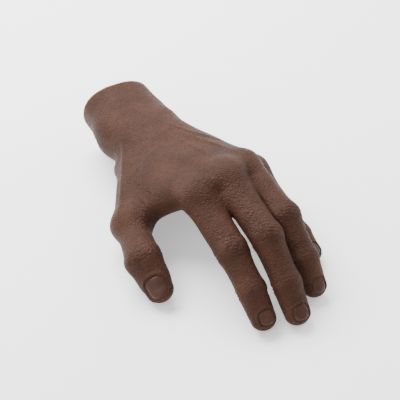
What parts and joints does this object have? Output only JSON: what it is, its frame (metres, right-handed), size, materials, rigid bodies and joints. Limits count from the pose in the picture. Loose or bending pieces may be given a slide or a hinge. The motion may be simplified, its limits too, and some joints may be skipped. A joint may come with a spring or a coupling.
{
  "type": "prosthetic hand",
  "caption": "Passive posable left prosthetic hand: skin-like silicone glove over pinned finger and thumb links, with a turning wrist coupler and threaded stud.",
  "frame": {"origin": "centre of the wrist coupling face, on the stud axis", "axes": "+Y out of the wrist along the stud axis, fingers towards -Y; thumb side -X; +Z out of the back of the hand; the hand lies palm down"},
  "size_m": [0.12, 0.2235, 0.0594],
  "materials": {
    "skin": "satin",
    "nail": "gloss",
    "padding": "matte",
    "alloy": "satin",
    "steel": "brushed",
    "brake": "matte"
  },
  "bodies": {
    "palm": {"palm_glove": "skin", "palm_padding": "padding", "palm_chassis": "alloy", "chassis_cover": "alloy", "cover_screws": "steel", "knuckle_pins": "steel", "thumb_cmc_pin": "steel", "wrist_housing": "alloy", "housing_screws": "steel", "brake_washer": "brake"},
    "wrist_coupler": {"coupler_plate": "steel", "wrist_stud": "steel", "retaining_ring": "steel"},
    "index_proximal": {"index_proximal_link": "alloy", "index_proximal_sleeve": "skin", "index_pip_pin": "steel"},
    "index_middle": {"index_middle_link": "alloy", "index_middle_sleeve": "skin", "index_dip_pin": "steel"},
    "index_distal": {"index_distal_link": "alloy", "index_distal_sleeve": "skin", "index_nail": "nail"},
    "middle_proximal": {"middle_proximal_link": "alloy", "middle_proximal_sleeve": "skin", "middle_pip_pin": "steel"},
    "middle_middle": {"middle_middle_link": "alloy", "middle_middle_sleeve": "skin", "middle_dip_pin": "steel"},
    "middle_distal": {"middle_distal_link": "alloy", "middle_distal_sleeve": "skin", "middle_nail": "nail"},
    "ring_proximal": {"ring_proximal_link": "alloy", "ring_proximal_sleeve": "skin", "ring_pip_pin": "steel"},
    "ring_middle": {"ring_middle_link": "alloy", "ring_middle_sleeve": "skin", "ring_dip_pin": "steel"},
    "ring_distal": {"ring_distal_link": "alloy", "ring_distal_sleeve": "skin", "ring_nail": "nail"},
    "little_proximal": {"little_proximal_link": "alloy", "little_proximal_sleeve": "skin", "little_pip_pin": "steel"},
    "little_middle": {"little_middle_link": "alloy", "little_middle_sleeve": "skin", "little_dip_pin": "steel"},
    "little_distal": {"little_distal_link": "alloy", "little_distal_sleeve": "skin", "little_nail": "nail"},
    "thumb_metacarpal": {"thumb_metacarpal_link": "alloy", "thumb_metacarpal_sleeve": "skin", "thumb_mcp_pin": "steel"},
    "thumb_proximal": {"thumb_proximal_link": "alloy", "thumb_proximal_sleeve": "skin", "thumb_ip_pin": "steel"},
    "thumb_distal": {"thumb_distal_link": "alloy", "thumb_distal_sleeve": "skin", "thumb_nail": "nail"}
  },
  "joints": [
    {"name": "wrist_rotation", "type": "hinge", "parent": "wrist_coupler", "child": "palm", "pos_m": [0, 0, 0], "axis": [0, 1, 0], "continuous": true},
    {"name": "index_mcp", "type": "hinge", "parent": "palm", "child": "index_proximal", "pos_m": [-0.00731, -0.12033, 0.01988], "axis": [0.9978, 0.0524, -0.0415], "range_deg": [-33.5, 31.5]},
    {"name": "index_pip", "type": "hinge", "parent": "index_proximal", "child": "index_middle", "pos_m": [-0.00577, -0.16166, 0.00487], "axis": [0.9978, 0.0524, -0.0415], "range_deg": [-11, 59]},
    {"name": "index_dip", "type": "hinge", "parent": "index_middle", "child": "index_distal", "pos_m": [-0.00514, -0.18438, -0.00875], "axis": [0.9978, 0.0524, -0.0415], "range_deg": [-8.5, 36.5]},
    {"name": "middle_mcp", "type": "hinge", "parent": "palm", "child": "middle_proximal", "pos_m": [0.01492, -0.11799, 0.02227], "axis": [0.9991, 0.0253, -0.035], "range_deg": [-27.5, 37.5]},
    {"name": "middle_pip", "type": "hinge", "parent": "middle_proximal", "child": "middle_middle", "pos_m": [0.01571, -0.16555, 0.01051], "axis": [0.9991, 0.0253, -0.035], "range_deg": [-22.5, 47.5]},
    {"name": "middle_dip", "type": "hinge", "parent": "middle_middle", "child": "middle_distal", "pos_m": [0.01569, -0.19051, -0.00788], "axis": [0.9991, 0.0253, -0.035], "range_deg": [-8, 37]},
    {"name": "ring_mcp", "type": "hinge", "parent": "palm", "child": "ring_proximal", "pos_m": [0.03371, -0.10878, 0.01692], "axis": [0.9977, 0.0541, -0.042], "range_deg": [-23, 42]},
    {"name": "ring_pip", "type": "hinge", "parent": "ring_proximal", "child": "ring_middle", "pos_m": [0.03585, -0.1541, 0.00936], "axis": [0.9977, 0.0541, -0.042], "range_deg": [-25.5, 44.5]},
    {"name": "ring_dip", "type": "hinge", "parent": "ring_middle", "child": "ring_distal", "pos_m": [0.03644, -0.17787, -0.00724], "axis": [0.9977, 0.0541, -0.042], "range_deg": [-12, 33]},
    {"name": "little_mcp", "type": "hinge", "parent": "palm", "child": "little_proximal", "pos_m": [0.04809, -0.09856, 0.00218], "axis": [0.9947, 0.0896, -0.0505], "range_deg": [-32.7, 32.3]},
    {"name": "little_pip", "type": "hinge", "parent": "little_proximal", "child": "little_middle", "pos_m": [0.05047, -0.13152, -0.00935], "axis": [0.9947, 0.0896, -0.0505], "range_deg": [-2, 68]},
    {"name": "little_dip", "type": "hinge", "parent": "little_middle", "child": "little_distal", "pos_m": [0.05171, -0.14919, -0.01623], "axis": [0.9947, 0.0896, -0.0505], "range_deg": [-2, 43]},
    {"name": "thumb_cmc", "type": "hinge", "parent": "palm", "child": "thumb_metacarpal", "pos_m": [-0.02633, -0.05521, -0.00702], "axis": [0.8138, -0.3292, 0.479], "range_deg": [-10, 10]},
    {"name": "thumb_mcp", "type": "hinge", "parent": "thumb_metacarpal", "child": "thumb_proximal", "pos_m": [-0.04236, -0.09723, -0.00866], "axis": [0.855, -0.1977, 0.4795], "range_deg": [-10, 25]},
    {"name": "thumb_ip", "type": "hinge", "parent": "thumb_proximal", "child": "thumb_distal", "pos_m": [-0.04984, -0.12937, -0.00858], "axis": [0.855, -0.1977, 0.4795], "range_deg": [-34, 20]}
  ]
}
